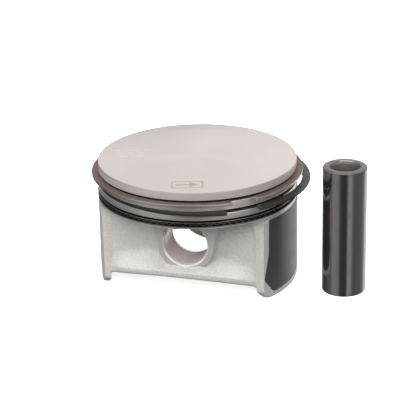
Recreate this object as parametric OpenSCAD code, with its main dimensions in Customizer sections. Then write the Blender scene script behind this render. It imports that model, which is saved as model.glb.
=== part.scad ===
// Petrol-engine piston with its loose ring pack, wrist pin and retaining clips.
// Millimetres, +Z towards the crown. The origin is the centre of the wrist-pin bore,
// and the bore runs along Y. The piston stands on its skirts, the wrist pin stands beside it.

/* [Piston] */
// diameter of the uncoated skirts
skirt_d = 77.8; // [76.8:0.1:78.8]
// height from the skirt feet to the crown
total_h = 48.2; // [47.6:0.1:50]
// height from the bore axis to the crown
comp_h = 25.9; // [25.9:0.1:26.4]
// offset of the bore axis from the piston axis
bore_offset = 1.6; // [0.6:0.1:1.8]
// thickness of the crown above the cavity
crown_t = 6; // [5:0.5:7]

/* [Ring belt] */
// height of the top land
top_land = 3.3; // [3:0.1:3.4]
// height of the top ring groove
groove1_h = 1.2; // [1.2:0.05:1.4]
// height of the second ring groove
groove2_h = 1.3; // [1.3:0.05:1.45]
// height of the oil ring groove
groove3_h = 2.75; // [2.7:0.05:2.8]
// radius of the groove roots
root_r = 34.5; // [34.2:0.1:34.6]

/* [Wrist pin] */
// outside diameter of the wrist pin
pin_d = 17; // [16.4:0.1:17.2]
// inside diameter of the wrist pin
pin_hole_d = 11; // [9:0.5:11.5]
// length of the wrist pin
pin_l = 50.8; // [48:0.2:50.8]
// distance from the piston axis to the bore mouths
mouth_y = 27.4; // [27.2:0.1:28]
// distance from the piston axis to the inner faces of the bosses
boss_gap = 13.4; // [12.5:0.1:14]

/* [Rings] */
// free radius of the top ring
ring1_r = 41.05; // [40:0.05:41.2]
// radial thickness of the top ring
ring1_t = 2.9; // [2.6:0.1:3]
// free opening between the ends of the top ring
ring1_gap = 10.2; // [6:0.2:12]
// free radius of the second ring
ring2_r = 41.1; // [40.6:0.05:41.2]
// radial thickness of the second ring
ring2_t = 3.2; // [2.8:0.1:3.2]
// free opening between the ends of the second ring
ring2_gap = 13.3; // [8:0.2:15]
// thickness of one oil ring rail
rail_h = 0.45; // [0.4:0.05:0.45]
// number of waves in the oil ring expander
pleats = 94; // [88:2:96]

/* [Hidden] */
$fn = 96;
axis_x = -bore_offset;
crown_z = comp_h;
foot_z = comp_h - total_h;
skirt_r = skirt_d / 2;
land_r = skirt_r - 0.15;
cavity_z = crown_z - crown_t;
belt_z = crown_z - 15.7;
lip_z = crown_z - 14.6;
g1_top = crown_z - top_land;
g1_bot = g1_top - groove1_h;
g2_top = crown_z - 7.6;
g2_bot = g2_top - groove2_h;
g3_top = crown_z - 11.4;
g3_bot = g3_top - groove3_h;
side_c = 0.04;
coat_t = 0.1;
pin_r = pin_d / 2;
bore_r = pin_r + 0.015;
pin_x = axis_x + 59.25;
pin_y = -6.25;
skirt_in = skirt_r - 2.3;
rim_c = 21;
rim_r = 51.2;
arch_r = 92.6;
clip_wire = 0.5;
clip_y = pin_l / 2 + 0.6;
rail_r = land_r + 0.35;
exp_bot = g3_bot + 2 * side_c + rail_h;
exp_top = exp_bot + 1.16;
leg_pitch = 37.2 * PI / pleats;
leg_a = 30;

// crown disc and ring belt, one turned profile
module belt() {
  rotate_extrude()
  polygon([
    [0, crown_z], [land_r - 0.3, crown_z], [land_r, crown_z - 0.3],
    [land_r, g1_top], [root_r, g1_top], [root_r, g1_bot], [land_r - 0.05, g1_bot],
    [land_r - 0.05, g2_top], [root_r, g2_top], [root_r, g2_bot], [land_r - 0.05, g2_bot],
    [land_r - 0.05, g3_top], [root_r + 0.2, g3_top], [root_r + 0.2, g3_bot], [land_r, g3_bot],
    [land_r, lip_z], [land_r - 3.2, belt_z], [0, belt_z]
  ]);
}

// both skirts before trimming, a tube that steps in to the land above the pads
module skirt_tube() {
  translate([0, 0, foot_z])
  difference() {
    union() {
      cylinder(r = skirt_r, h = belt_z - foot_z);
      cylinder(r = land_r, h = lip_z - foot_z + 0.3);
    }
    translate([0, 0, -1])
    cylinder(r = skirt_in, h = belt_z - foot_z + 3);
  }
}

// side view outline of the wide skirt: y, z
module wide_outline() {
  translate([0, 0, 0])
  rotate([90, 0, 90])
  linear_extrude(height = 45)
  polygon([
    [-30, lip_z + 1], [30, lip_z + 1], [30, lip_z], [23.1, belt_z - 0.9],
    [23.1, foot_z + 3.6], [22.6, foot_z + 1.8],
    [20.7, foot_z], [-20.7, foot_z], [-22.6, foot_z + 1.8], [-23.1, foot_z + 3.6],
    [-23.1, belt_z - 0.9], [-30, lip_z]
  ]);
}

// side view outline of the narrow skirt: y, z
module narrow_outline() {
  translate([-45, 0, 0])
  rotate([90, 0, 90])
  linear_extrude(height = 45)
  polygon([
    [-26, lip_z + 1], [26, lip_z + 1], [26, lip_z], [20.5, belt_z - 0.6],
    [21.6, foot_z + 7], [21.2, foot_z + 3],
    [18.8, foot_z], [-18.8, foot_z], [-21.2, foot_z + 3], [-21.6, foot_z + 7],
    [-20.5, belt_z - 0.6], [-26, lip_z]
  ]);
}

module skirts() {
  intersection() {
    skirt_tube();
    union() {
      wide_outline();
      narrow_outline();
    }
  }
}

// plan of the box between the side panels, grown by g
module box_plan(g) {
  polygon([
    [-33.5, -16.4 - g], [-12, -18.6 - g], [14, -19.2 - g], [33.2, -18.6 - g],
    [33.2, 18.6 + g], [14, 19.2 + g], [-12, 18.6 + g], [-33.5, 16.4 + g]
  ]);
}

// low arch under the side panels
module arch_cut() {
  translate([-2, -40, foot_z + 9.2 - arch_r])
  rotate([-90, 0, 0])
  cylinder(r = arch_r, h = 80, $fn = 180);
}

// side panels with their flared lower rims
module panels() {
  difference() {
    intersection() {
      union() {
        translate([0, 0, foot_z + 2])
        linear_extrude(height = belt_z - foot_z - 1)
        box_plan(3);
        near_rim();
        mirror([0, 1, 0])
        near_rim();
      }
      translate([0, 0, foot_z])
      cylinder(r = skirt_r - 0.4, h = total_h);
    }
    translate([0, 0, foot_z - 1])
    linear_extrude(height = total_h)
    box_plan(0);
    arch_cut();
  }
}

// curved rim that flares out below the bore
module near_rim() {
  intersection() {
    translate([0, rim_c, 0])
    rotate_extrude($fn = 180)
    polygon([
      [42.6, -3.5], [43.1, -4.7], [44.0, -6.1], [45.8, -7.5], [48.2, -8.9], [49.9, -9.8],
      [50.9, -10.4], [rim_r, -11], [rim_r, -20], [42.6, -20]
    ]);
    translate([-31.5, -40, -20])
    cube([63, 24, 20]);
  }
}

// boss outline in x and z, round below and spreading to half width w at the belt
module boss_plan(r, w, top_z) {
  circle(r = r);
  polygon([[-r, 0], [r, 0], [w, belt_z], [w, top_z], [-w, top_z], [-w, belt_z]]);
}

module bosses() {
  translate([bore_offset, 0, 0])
  for (s = [-1, 1]) {
    translate([0, s > 0 ? mouth_y : -18.7, 0])
    rotate([90, 0, 0])
    linear_extrude(height = mouth_y - 18.7)
    boss_plan(10.9, 13.7, crown_z - 9);
    translate([0, s > 0 ? 23 : -boss_gap, 0])
    rotate([90, 0, 0])
    linear_extrude(height = 23 - boss_gap)
    boss_plan(14.4, 15.6, cavity_z + 0.5);
  }
}

// hollow between crown, skirts and panels
module cavity() {
  intersection() {
    translate([0, 0, belt_z - 1])
    linear_extrude(height = cavity_z - belt_z + 1)
    box_plan(0);
    union() {
      translate([0, 0, belt_z - 1])
      cylinder(r = 31.5, h = cavity_z - belt_z - 1);
      translate([0, 0, cavity_z - 3])
      cylinder(r1 = 31.5, r2 = 28, h = 3);
      translate([0, 0, belt_z - 1])
      cylinder(r1 = skirt_in, r2 = 31.5, h = 5);
    }
  }
}

// pockets between the side panels and the back of the ring belt
module side_pockets() {
  intersection() {
    difference() {
      translate([0, 0, belt_z - 1])
      cylinder(r = 31.2, h = 7.2);
      translate([0, 0, belt_z - 2])
      linear_extrude(height = 12)
      box_plan(3);
    }
    union() {
      translate([-30, -32, belt_z - 1])
      cube([60, 12, 12]);
      translate([-30, 20, belt_z - 1])
      cube([60, 12, 12]);
    }
  }
}

// wrist-pin bore with mouth chamfers, clip grooves and removal notches
module pin_bore() {
  translate([bore_offset, 0, 0]) {
    translate([0, -40, 0])
    rotate([-90, 0, 0])
    cylinder(r = bore_r, h = 80);
    for (s = [0, 1])
      mirror([0, s, 0]) {
        translate([0, -mouth_y - 0.01, 0])
        rotate([-90, 0, 0])
        cylinder(r1 = bore_r + 0.36, r2 = bore_r, h = 0.36);
        translate([0, -clip_y - 0.55, 0])
        rotate([-90, 0, 0])
        cylinder(r = bore_r + 0.7, h = 1.1);
        translate([-7.5, -mouth_y - 0.01, 4.33])
        rotate([-90, 0, 0])
        cylinder(r = 1.5, h = mouth_y - pin_l / 2 + 0.4);
        translate([0, -boss_gap + 0.01, 0])
        rotate([90, 0, 0])
        cylinder(r1 = bore_r + 0.5, r2 = bore_r, h = 0.5);
      }
  }
}

// oil return holes from the oil ring groove into the cavity
module drain_holes() {
  for (a = [-28, -10, 10, 28, 152, 170, 190, 208])
    rotate([0, 0, a])
    translate([24, 0, (g3_top + g3_bot) / 2])
    rotate([0, 90, 0])
    cylinder(r = 0.9, h = 13);
}

module piston_body() {
  color([0.78, 0.76, 0.75])
  translate([axis_x, 0, 0])
  difference() {
    union() {
      difference() {
        belt();
        cavity();
        side_pockets();
      }
      skirts();
      panels();
      bosses();
    }
    pin_bore();
    drain_holes();
  }
}

// thin graphite pad on the wide skirt
module thrust_skirt_coating() {
  color([0.2, 0.19, 0.21])
  translate([axis_x, 0, 0])
  intersection() {
    pad_tube();
    rotate([90, 0, 90])
    linear_extrude(height = 45)
    polygon([
      [-20.9, belt_z - 0.1], [20.9, belt_z - 0.1], [21.1, -4.1], [23.0, -14.2],
      [18.8, foot_z + 1.9], [12, foot_z + 2.2], [0, foot_z + 2.4], [-12, foot_z + 2.2],
      [-18.8, foot_z + 1.9], [-23.0, -14.2], [-21.1, -4.1]
    ]);
  }
}

// thin graphite pad on the narrow skirt
module minor_skirt_coating() {
  color([0.2, 0.19, 0.21])
  translate([axis_x, 0, 0])
  intersection() {
    pad_tube();
    translate([-45, 0, 0])
    rotate([90, 0, 90])
    linear_extrude(height = 45)
    polygon([
      [-11.4, belt_z - 0.1], [11.4, belt_z - 0.1], [11.6, -4.1], [12.0, -14.2],
      [10.4, foot_z + 1.9], [0, foot_z + 2.4], [-10.4, foot_z + 1.9], [-12.0, -14.2],
      [-11.6, -4.1]
    ]);
  }
}

module pad_tube() {
  translate([0, 0, foot_z])
  difference() {
    cylinder(r = skirt_r + coat_t, h = 40);
    translate([0, 0, -1])
    cylinder(r = skirt_r, h = 42);
  }
}

// plain split ring: outer radius, thickness, height, edge chamfer, gap width, gap direction
module split_ring(r, t, h, c, gap, dir) {
  difference() {
    rotate_extrude()
    polygon([
      [r - t, c], [r - t + c, 0], [r - c, 0], [r, c], [r, h - c], [r - c, h],
      [r - t + c, h], [r - t, h - c]
    ]);
    rotate([0, 0, dir])
    translate([0, -gap / 2, -1])
    cube([r + 5, gap, h + 2]);
  }
}

module top_compression_ring() {
  color([0.62, 0.61, 0.6])
  translate([axis_x + 0.5, -2.05, g1_bot + side_c])
  split_ring(ring1_r, ring1_t, groove1_h - 2 * side_c, 0.15, ring1_gap, -50.3);
}

module second_compression_ring() {
  color([0.24, 0.24, 0.25])
  translate([axis_x + 2.9, 0.75, g2_bot + side_c])
  split_ring(ring2_r, ring2_t, groove2_h - 2 * side_c, 0.1, ring2_gap, -55.6);
}

module oil_ring_upper_rail() {
  color([0.66, 0.66, 0.67])
  translate([axis_x, 0, exp_top + side_c])
  split_ring(rail_r, 2.6, rail_h, 0.08, 1.2, 75);
}

module oil_ring_lower_rail() {
  color([0.66, 0.66, 0.67])
  translate([axis_x, 0, g3_bot + side_c])
  split_ring(rail_r, 2.6, rail_h, 0.08, 1.2, 125);
}

// waved spring strip that spreads the two rails, with one leg left out as its joint
module oil_ring_expander() {
  color([0.3, 0.3, 0.31])
  translate([axis_x, 0, (exp_bot + exp_top) / 2])
  for (i = [0 : 2 * pleats - 2])
    rotate([0, 0, 101.25 + (i + 1) * 180 / pleats])
    translate([37.15, 0, 0])
    rotate([i % 2 == 0 ? leg_a : -leg_a, 0, 0])
    cube([i % 2 == 0 ? 1.7 : 1.66, leg_pitch / cos(leg_a) + 0.3, 0.3], center = true);
}

// hollow wrist pin, standing upright beside the piston
module wrist_pin() {
  color([0.45, 0.44, 0.44])
  translate([pin_x, pin_y, foot_z])
  rotate_extrude()
  polygon([
    [pin_hole_d / 2 + 0.5, 0], [pin_r - 0.5, 0], [pin_r - 0.12, 0.2], [pin_r, 0.7],
    [pin_r, pin_l - 0.7], [pin_r - 0.12, pin_l - 0.2], [pin_r - 0.5, pin_l],
    [pin_hole_d / 2 + 0.5, pin_l], [pin_hole_d / 2, pin_l - 0.9], [pin_hole_d / 2, 0.9]
  ]);
}

// open wire clip: centre-line radius, gap width, gap direction
module wire_clip(r, gap, dir) {
  difference() {
    rotate_extrude()
    translate([r, 0])
    circle(r = clip_wire, $fn = 24);
    rotate([0, 0, dir])
    translate([0, -gap / 2, -2])
    cube([r + 3, gap, 4]);
  }
}

// clip seated in the groove at the +Y mouth of the bore
module fitted_circlip() {
  color([0.5, 0.5, 0.52])
  translate([0, clip_y, 0])
  rotate([90, 0, 0])
  wire_clip(bore_r + 0.69 - clip_wire, 7, 150);
}

// second clip, lying flat behind the piston
module loose_circlip() {
  color([0.5, 0.5, 0.52])
  translate([4, 58, foot_z + clip_wire])
  wire_clip(9.2, 9, 35);
}

piston_body();
thrust_skirt_coating();
minor_skirt_coating();
top_compression_ring();
second_compression_ring();
oil_ring_upper_rail();
oil_ring_lower_rail();
oil_ring_expander();
wrist_pin();
fitted_circlip();
loose_circlip();
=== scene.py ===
import bpy, bmesh, math
import numpy as np
from mathutils import Vector, Matrix


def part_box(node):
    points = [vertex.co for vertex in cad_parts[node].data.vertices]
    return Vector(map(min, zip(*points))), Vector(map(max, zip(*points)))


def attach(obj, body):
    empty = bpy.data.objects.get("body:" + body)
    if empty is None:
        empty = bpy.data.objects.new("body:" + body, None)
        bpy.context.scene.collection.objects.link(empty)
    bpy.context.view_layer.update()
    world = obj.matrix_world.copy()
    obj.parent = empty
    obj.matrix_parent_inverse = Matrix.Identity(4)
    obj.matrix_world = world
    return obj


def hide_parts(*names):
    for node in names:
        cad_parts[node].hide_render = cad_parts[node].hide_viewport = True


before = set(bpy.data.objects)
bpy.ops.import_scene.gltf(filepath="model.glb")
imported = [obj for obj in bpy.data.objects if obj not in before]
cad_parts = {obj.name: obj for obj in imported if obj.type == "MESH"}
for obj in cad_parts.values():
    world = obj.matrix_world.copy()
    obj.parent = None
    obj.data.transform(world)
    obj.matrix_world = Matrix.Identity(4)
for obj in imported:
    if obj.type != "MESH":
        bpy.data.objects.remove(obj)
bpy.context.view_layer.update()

MM = 0.001


def cad_mm(node):
    lo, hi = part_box(node)
    return np.array(lo) / MM, np.array(hi) / MM


body_lo, body_hi = cad_mm("piston_body")
AXIS_X = (body_lo[0] + body_hi[0]) / 2
SKIRT_R = (body_hi[0] - body_lo[0]) / 2
CROWN = body_hi[2]
FOOT = body_lo[2]
# heights of the ring belt's underside, its outer lip, the three grooves and the plate under the crown
BELT = CROWN - 15.7
LIP = CROWN - 14.6
GROOVE1_TOP = CROWN - 3.3
GROOVE1_H = 1.2
GROOVE2_TOP = CROWN - 7.6
GROOVE2_H = 1.3
OIL_TOP = CROWN - 11.4
OIL_H = 2.75
CAVITY = CROWN - 6.0
LAND_R = SKIRT_R - 0.15
# the middle lands are a little smaller than the outer two
MID_LAND_R = LAND_R - 0.05
ROOT_R = 34.5
OIL_ROOT_R = 34.7
# wrist-pin bore: offset from the axis, radius, outer and inner end of a boss, clip groove
BORE_DX = -AXIS_X
BORE_R = 8.515
MOUTH = 27.4
GAP = 13.4
CLIP_Y = 26.0
CHAMFER = 0.5
OUTER_BOSS_R = 10.9
INNER_BOSS_R = 14.4
# bottom of the faced patch round the bore mouth
FACE_Z = -8.7
# skirts: half widths, and how much each narrows towards its foot
WIDE_HALF = 23.1
NARROW_HALF = 19.3
COAT = 0.1
PAD_SINK = 0.06
NOTCH_R = 1.5
NOTCH_X = -7.5
NOTCH_Z = 4.33
DRAIN_R = 0.9
DRAIN_ANGLES = (-28, -10, 10, 28, 152, 170, 190, 208)
# round casting mark on the front panel
MARK_X = 19.6
MARK_Z = -6.85

# ---------------------------------------------------------------- small helpers


def collection():
    return bpy.context.scene.collection


def new_object(name, verts, faces, shift=(0, 0, 0)):
    """verts in millimetres about the piston axis"""
    me = bpy.data.meshes.new(name)
    v = (np.asarray(verts, dtype=float) + np.array(shift)) * MM
    me.from_pydata(v.tolist(), [], [list(map(int, f)) for f in faces])
    me.validate()
    me.update()
    ob = bpy.data.objects.new(name, me)
    collection().objects.link(ob)
    return ob


def recalc(ob):
    bm = bmesh.new()
    bm.from_mesh(ob.data)
    bmesh.ops.recalc_face_normals(bm, faces=bm.faces)
    bm.to_mesh(ob.data)
    bm.free()


def smooth(ob, angle=35):
    me = ob.data
    me.shade_smooth()
    me.set_sharp_from_angle(angle=math.radians(angle))


def lathe(name, prof, n, shift=(0, 0, 0), closed=True):
    """closed profile of (r, z), turned about Z"""
    prof = np.array(prof, dtype=float)
    m = len(prof)
    a = np.arange(n) * 2 * math.pi / n
    on_axis = prof[:, 0] < 1e-6
    verts, idx = [], np.zeros((m, n), dtype=int)
    for i, (r, z) in enumerate(prof):
        if on_axis[i]:
            idx[i, :] = len(verts)
            verts.append((0, 0, z))
        else:
            for j in range(n):
                idx[i, j] = len(verts)
                verts.append((r * math.cos(a[j]), r * math.sin(a[j]), z))
    faces = []
    last = m if closed else m - 1
    for i in range(last):
        k = (i + 1) % m
        if on_axis[i] and on_axis[k]:
            continue
        for j in range(n):
            jj = (j + 1) % n
            f = [idx[i, j], idx[k, j], idx[k, jj], idx[i, jj]]
            g = []
            for q in f:
                if q not in g:
                    g.append(q)
            if len(g) > 2:
                faces.append(g)
    ob = new_object(name, verts, faces, shift)
    recalc(ob)
    return ob


def boolean(ob, other, op):
    mod = ob.modifiers.new("b", "BOOLEAN")
    mod.operation = op
    mod.solver = "MANIFOLD"
    mod.object = other
    dg = bpy.context.evaluated_depsgraph_get()
    me = bpy.data.meshes.new_from_object(ob.evaluated_get(dg))
    ob.modifiers.clear()
    old = ob.data
    ob.data = me
    bpy.data.meshes.remove(old)
    bpy.data.objects.remove(other)


# ---------------------------------------------------------------- cast body as a distance field


def smin(a, b, k):
    h = np.clip(0.5 + 0.5 * (b - a) / k, 0, 1)
    return b + (a - b) * h - k * h * (1 - h)


def smax(a, b, k):
    return -smin(-a, -b, k)


def panel_y(x):
    return 22.0 + 0.0328 * x - 0.00135 * x * x


def rim_y(x):
    return np.sqrt(np.maximum(51.2 ** 2 - x * x, 1.0)) - 21.0


def arch_z(x):
    return FOOT + 9.2 - 0.0054 * (x + 2) ** 2


def half_width(x, z):
    """how far the skirts reach along Y at height z"""
    wide = WIDE_HALF - 2.4 * np.clip((FOOT + 3.6 - z) / 3.6, 0, 1) ** 1.6
    narrow = (NARROW_HALF + 1.5 * np.clip((BELT - z) / 30, 0, 1) ** 1.3
              - 3.0 * np.clip((FOOT + 3.2 - z) / 3.2, 0, 1) ** 1.4)
    return np.where(x > 0, wide, narrow)


def cast(x, y, z):
    """distance to the raw casting, without the turned belt and the bore"""
    ay = np.abs(y)
    r = np.hypot(x, y)
    # skirts
    wall = 2.3 + 1.1 * np.clip((z - 2) / 8, 0, 1)
    skirt = smax(np.abs(r - (SKIRT_R - wall / 2 + 0.6)) - (wall / 2 + 0.6), ay - half_width(x, z), 0.5)
    skirt = smax(skirt, FOOT - z, 0.4)
    skirt = smax(skirt, z - (LIP + 1.0), 0.2)
    # side panels that swell out into a lip along the arch
    py = panel_y(x)
    push = np.maximum(rim_y(x) - py, 0)
    lip_z = arch_z(x) + 2.7
    t = np.clip((lip_z + 6.2 - z) / 6.2, 0, 1)
    out = py + push * t ** 1.7
    slope = np.where((t > 0) & (t < 1), push * 1.7 * t ** 0.7 / 6.2, 0)
    d_out = (ay - out) / np.sqrt(1 + slope * slope)
    d_in = (py - 3.0 - 0.06 * np.clip(z + 12, 0, 30)) - ay
    d_bot = (arch_z(x) - z) / np.sqrt(1 + (0.0108 * (x + 2)) ** 2)
    panel = smax(smax(d_out, d_bot, 1.3), d_in, 1.2)
    panel = smax(panel, z - (BELT + 1.0), 0.2)
    panel = smax(panel, r - (SKIRT_R - 1.0), 0.5)
    d = smin(skirt, panel, 1.7 + 0.9 * np.clip(x / 10, -1, 1))
    # under-crown plate and the wall behind the ring belt
    plate = smax(CAVITY - z, z - (CROWN - 2.0), 0.1)
    plate = smax(plate, r - 33.6, 0.1)
    under = BELT + 0.15 + (LIP - BELT) * np.clip((r - LAND_R + 3.2) / 3.2, 0, 1)
    belt = np.maximum(np.abs(r - 34.9) - 3.7, np.maximum((under - z) * 0.94, z - (CROWN - 2.0)))
    top = smin(plate, belt, 5.0)
    d = smin(d, top, 3.6)
    upper = smax(d_in, ay - py, 0.8)
    upper = smax(upper, r - 33.0, 0.3)
    upper = np.maximum(upper, np.maximum(BELT - 1 - z, z - (CROWN - 2)))
    d = smin(d, upper, 2.5)
    # bosses, round below and spreading up to the crown
    bx = x - BORE_DX
    spread = 2.8 * z / 10.2
    draft = 0.16 * np.clip(MOUTH - ay, 0, 8)
    side = np.where(z > 0, np.abs(bx) - (OUTER_BOSS_R + spread), np.hypot(bx, z) - OUTER_BOSS_R) - draft
    grow = 4.5 * np.clip((z - BELT - 0.6) / 3.5, 0, 1)
    front_y = MOUTH + 0.9
    front = front_y - 6.0 * np.clip((-7.6 - z) / 2.4, 0, 1)
    # the field is scaled down where the front surface leans, so it stays close to a distance
    lean = np.where(grow > 0, 0.6, np.where(front < front_y, 0.4, 1))
    outer = smax(smax(side, (ay - front - grow) * lean, 0.3), 17 - ay, 0.5)
    outer = smax(smax(outer, z - (CROWN - 4.0), 0.3), r - 33.5, 0.3)
    d = smin(d, outer, 2.2)
    side = np.where(z > 0, np.abs(bx) - (INNER_BOSS_R + 0.12 * z), np.hypot(bx, z) - INNER_BOSS_R)
    inner = smax(smax(side, GAP - ay, 0.6), ay - 22, 0.5)
    inner = smax(inner, z - (CROWN - 3), 0.2)
    d = smin(d, inner, 3.0)
    # nothing of the casting stands in the ring grooves
    d = smax(d, r - np.where(z < BELT, SKIRT_R, LAND_R - 0.005), 0.05)
    return np.maximum(d, np.minimum(r - 34.0, z - (LIP + 0.2)))


def surface_nets(fn, lo, hi, h):
    """closed quad mesh of fn = 0, with every corner pulled onto the surface"""
    n = [int(math.ceil((hi[i] - lo[i]) / h)) + 1 for i in range(3)]
    ax = [lo[i] + h * np.arange(n[i]) for i in range(3)]
    X, Y, Z = np.meshgrid(*ax, indexing="ij")
    F = fn(X, Y, Z)
    s = F < 0
    corners = [s[i:n[0] - 1 + i, j:n[1] - 1 + j, k:n[2] - 1 + k]
               for i in (0, 1) for j in (0, 1) for k in (0, 1)]
    tot = sum(q.astype(np.int8) for q in corners)
    active = (tot > 0) & (tot < 8)
    ids = -np.ones(active.shape, dtype=np.int64)
    cells = np.argwhere(active)
    ids[active] = np.arange(len(cells))
    acc = np.zeros((len(cells), 3))
    cnt = np.zeros(len(cells))
    ci, cj, ck = cells.T
    for axis in range(3):
        o = [a for a in range(3) if a != axis]
        for u in (0, 1):
            for v in (0, 1):
                p0 = [p.copy() for p in (ci, cj, ck)]
                p0[o[0]] += u
                p0[o[1]] += v
                p1 = [p.copy() for p in p0]
                p1[axis] += 1
                f0 = F[p0[0], p0[1], p0[2]]
                f1 = F[p1[0], p1[1], p1[2]]
                m = (f0 < 0) != (f1 < 0)
                t = np.where(m, f0 / np.where(m, f0 - f1, 1), 0)
                q = np.stack(p0, 1).astype(float)
                q[:, axis] += t
                acc[m] += q[m]
                cnt[m] += 1
    P = acc / cnt[:, None] * h + np.array(lo)
    # pull onto the surface
    e = 0.02
    for _ in range(3):
        x, y, z = P.T
        f = fn(x, y, z)
        g = np.stack([fn(x + e, y, z) - fn(x - e, y, z), fn(x, y + e, z) - fn(x, y - e, z),
                      fn(x, y, z + e) - fn(x, y, z - e)], 1) / (2 * e)
        g2 = np.maximum((g * g).sum(1), 0.25)
        step = -(f / g2)[:, None] * g
        ln = np.linalg.norm(step, axis=1, keepdims=True)
        step *= np.minimum(1, 0.4 * h / np.maximum(ln, 1e-9))
        P = P + step
    faces = []
    for axis in range(3):
        o = [(axis + 1) % 3, (axis + 2) % 3]
        sl0 = [slice(None)] * 3
        sl1 = [slice(None)] * 3
        sl0[axis] = slice(0, n[axis] - 1)
        sl1[axis] = slice(1, n[axis])
        a, b = s[tuple(sl0)], s[tuple(sl1)]
        cr = np.argwhere(a != b)
        ok = (cr[:, o[0]] > 0) & (cr[:, o[0]] < n[o[0]] - 1) & (cr[:, o[1]] > 0) & (cr[:, o[1]] < n[o[1]] - 1)
        cr = cr[ok]
        flip = a[cr[:, 0], cr[:, 1], cr[:, 2]]
        quad = []
        for du, dv in ((-1, -1), (0, -1), (0, 0), (-1, 0)):
            q = cr.copy()
            q[:, o[0]] += du
            q[:, o[1]] += dv
            quad.append(ids[q[:, 0], q[:, 1], q[:, 2]])
        quad = np.stack(quad, 1)
        quad[~flip] = quad[~flip][:, ::-1]
        faces.append(quad)
    return P, np.concatenate(faces)


def is_closed(Q):
    """every edge has exactly two faces"""
    e = np.sort(np.concatenate([Q[:, [i, (i + 1) % 4]] for i in range(4)]), axis=1)
    k = e[:, 0] * (e.max() + 1) + e[:, 1]
    return np.all(np.unique(k, return_counts=True)[1] == 2)


def mesh_from_arrays(name, P, Q, shift):
    me = bpy.data.meshes.new(name)
    v = ((P + np.array(shift)) * MM).astype(np.float32)
    me.vertices.add(len(v))
    me.vertices.foreach_set("co", v.ravel())
    me.loops.add(Q.size)
    me.loops.foreach_set("vertex_index", Q.ravel().astype(np.int32))
    me.polygons.add(len(Q))
    me.polygons.foreach_set("loop_start", np.arange(0, Q.size, 4, dtype=np.int32))
    me.update(calc_edges=True)
    me.validate()
    ob = bpy.data.objects.new(name, me)
    collection().objects.link(ob)
    return ob


SHIFT = (AXIS_X, 0, 0)
# edge of one cell of the grid that the casting is meshed on
VOX = 0.55


def groove(top, h, root, land_up, land_dn, e=0.12):
    """points of one ring groove going down the outside of the belt"""
    bottom = top - h
    return [(land_up - e * 0.4, top + e * 0.6), (land_up - e, top), (root + 0.25, top), (root, top - 0.25),
            (root, bottom + 0.25), (root + 0.25, bottom), (land_dn - e, bottom),
            (land_dn - e * 0.3, bottom - e * 0.4)]


def raw_casting():
    # the grid moves a little until every edge of the mesh has two faces
    for shift in np.arange(8) * 0.11:
        lo = (-40.3 - shift, -39.6 - shift, FOOT - 1.3 - shift)
        P, Q = surface_nets(cast, lo, (40.4, 39.7, CROWN - 0.6), VOX)
        if is_closed(Q):
            break
    P[:, 2] = np.maximum(P[:, 2], FOOT)
    return mesh_from_arrays("piston_body_cast", P, Q, SHIFT)


def face_bosses(ob):
    """facing cuts that leave the boss faces flat: a disc round the bore and the patch above it"""
    for side in (-1, 1):
        face = lathe("face", [(0, MOUTH), (9.1, MOUTH), (9.1, 42), (0, 42)], 96)
        face.data.transform(Matrix.Rotation(math.radians(-90 * side), 4, "X"))
        boolean(ob, face, "DIFFERENCE")
        x0, x1, z0, z1 = BORE_DX + AXIS_X - 16.5, BORE_DX + AXIS_X + 16.5, FACE_Z, BELT - 0.2
        v = [(x, side * y, z) for y in (MOUTH, 42) for x, z in ((x0, z0), (x1, z0), (x1, z1), (x0, z1))]
        quads = [(0, 1, 2, 3), (4, 7, 6, 5), (0, 4, 5, 1), (1, 5, 6, 2), (2, 6, 7, 3), (3, 7, 4, 0)]
        face = new_object("face", v, quads)
        recalc(face)
        boolean(ob, face, "DIFFERENCE")


def add_ring_belt(ob):
    c, l, m = CROWN, LAND_R, MID_LAND_R
    prof = [(0, c), (l - 0.42, c), (l - 0.12, c - 0.10), (l - 0.02, c - 0.34), (l, c - 0.5)]
    prof += [(l, c - 3.2)] + groove(GROOVE1_TOP, GROOVE1_H, ROOT_R, l, m)
    prof += [(m, c - 4.6), (m, c - 7.5)] + groove(GROOVE2_TOP, GROOVE2_H, ROOT_R, m, m)
    prof += [(m, c - 9.0), (m, OIL_TOP + 0.1)] + groove(OIL_TOP, OIL_H, OIL_ROOT_R, m, l, 0.08)
    prof += [(l, LIP + 0.1), (l - 0.1, LIP), (l - 3.2, BELT), (32.3, BELT), (32.3, CROWN - 4.2),
             (30, CROWN - 3.1), (0, CROWN - 3.1)]
    boolean(ob, lathe("belt", prof, 256, SHIFT), "UNION")


def cut_bore(ob):
    """bore with chamfers and clip grooves, turned about Y"""
    h, y1, g, r0 = 40, MOUTH, CLIP_Y, BORE_R
    bore = [(0, -h), (r0 + CHAMFER, -h), (r0 + CHAMFER, -y1), (r0, -y1 + CHAMFER),
            (r0, -g - 0.55), (r0 + 0.45, -g - 0.45), (r0 + 0.7, -g - 0.15), (r0 + 0.7, -g + 0.15),
            (r0 + 0.45, -g + 0.45), (r0, -g + 0.55), (r0, -GAP - 0.45), (r0 + 1.0, -GAP + 0.55)]
    bore += [(r, -z) for r, z in bore[::-1]]
    cut = lathe("bore", bore, 160)
    cut.data.transform(Matrix.Rotation(math.radians(90), 4, "X"))
    boolean(ob, cut, "DIFFERENCE")


def cut_clip_notches(ob):
    sides = 32
    turn = np.linspace(0, 2 * math.pi, sides, endpoint=False)
    n = [(NOTCH_R * math.cos(q), NOTCH_R * math.sin(q)) for q in turn]
    for s in (-1, 1):
        v = [(NOTCH_X + a, s * y, NOTCH_Z + b) for y in (30.0, 25.0) for a, b in n]
        f = [list(range(sides - 1, -1, -1)), list(range(sides, 2 * sides))]
        f += [[i, (i + 1) % sides, sides + (i + 1) % sides, sides + i] for i in range(sides)]
        notch = new_object("notch", v, f)
        recalc(notch)
        boolean(ob, notch, "DIFFERENCE")


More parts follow.
